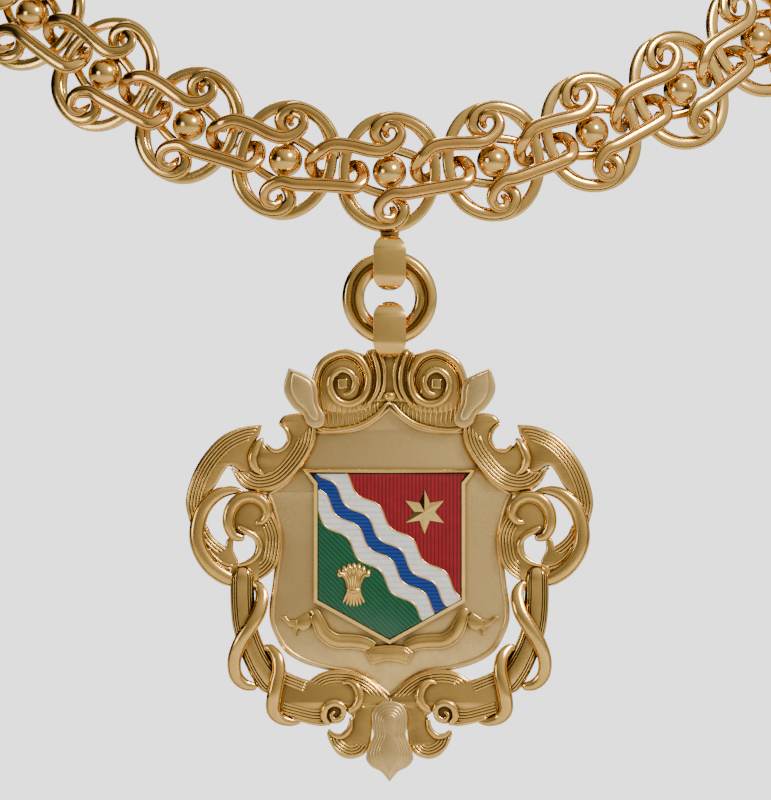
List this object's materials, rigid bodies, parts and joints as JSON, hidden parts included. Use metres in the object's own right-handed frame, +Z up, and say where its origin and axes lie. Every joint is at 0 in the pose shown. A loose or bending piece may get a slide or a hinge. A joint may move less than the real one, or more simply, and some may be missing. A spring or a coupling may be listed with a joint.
{
  "type": "chain of office",
  "caption": "Gold chain of office: oval roundels joined by S-shaped links, worn over the shoulders, with a scrolled badge and an enamelled shield hanging at the front.",
  "frame": {"origin": "middle of the wearer's neck at the height of the shoulders, in the middle of the collar's loop", "axes": "+Z up, the front of the collar and the badge towards -Y, the badge's width along X"},
  "size_m": [0.3054, 0.2607, 0.2758],
  "materials": {
    "gold": "bright polished yellow gold with dark recesses",
    "red_gold": "polished gold, slightly redder",
    "pale_gold": "satin gold",
    "red_enamel": "glossy vitreous enamel",
    "green_enamel": "glossy vitreous enamel",
    "blue_enamel": "glossy vitreous enamel",
    "white_enamel": "glossy vitreous enamel"
  },
  "bodies": {
    "collar": {"middle_roundel_with_bail": "gold", "roundel_left_1": "gold", "roundel_left_2": "gold", "roundel_left_3": "gold", "roundel_right_1": "gold", "roundel_right_2": "gold", "roundel_right_3": "gold", "s_link_left_1_upper": "red_gold", "s_link_left_1_lower": "red_gold", "s_link_left_2_upper": "red_gold", "s_link_left_2_lower": "red_gold", "s_link_left_3_upper": "red_gold", "s_link_left_3_lower": "red_gold", "s_link_right_1_upper": "red_gold", "s_link_right_1_lower": "red_gold", "s_link_right_2_upper": "red_gold", "s_link_right_2_lower": "red_gold", "s_link_right_3_upper": "red_gold", "s_link_right_3_lower": "red_gold", "collar_stretch_1": "gold", "collar_stretch_2": "gold", "collar_stretch_3": "gold", "collar_stretch_4": "gold", "collar_stretch_5": "gold", "collar_stretch_6": "gold", "collar_stretch_7": "gold", "collar_stretch_8": "gold", "collar_stretch_9": "gold", "collar_stretch_10": "gold", "collar_stretch_11": "gold", "collar_stretch_12": "gold", "collar_stretch_13": "gold", "collar_stretch_14": "gold", "collar_stretch_15": "gold"},
    "ring": {"hanging_ring": "gold"},
    "badge": {"badge_frame_with_bail": "gold", "field_plate": "pale_gold", "leaf_bud_right": "pale_gold", "leaf_bud_left": "pale_gold", "drop_bud": "pale_gold", "shield_tray": "gold", "enamel_red": "red_enamel", "enamel_bend_upper": "white_enamel", "enamel_bend_middle": "blue_enamel", "enamel_bend_lower": "white_enamel", "enamel_green": "green_enamel", "gold_star": "gold", "gold_sheaf": "gold", "blank_ribbon": "gold"}
  },
  "joints": [
    {"name": "ring_swing", "type": "hinge", "parent": "collar", "child": "ring", "pos_m": [0, -0.1235, -0.1458], "axis": [1, 0, 0], "range_deg": [-20, 20]},
    {"name": "badge_sway", "type": "hinge", "parent": "ring", "child": "badge", "pos_m": [0, -0.1235, -0.1502], "axis": [0, 1, 0], "range_deg": [-30, 30]}
  ]
}
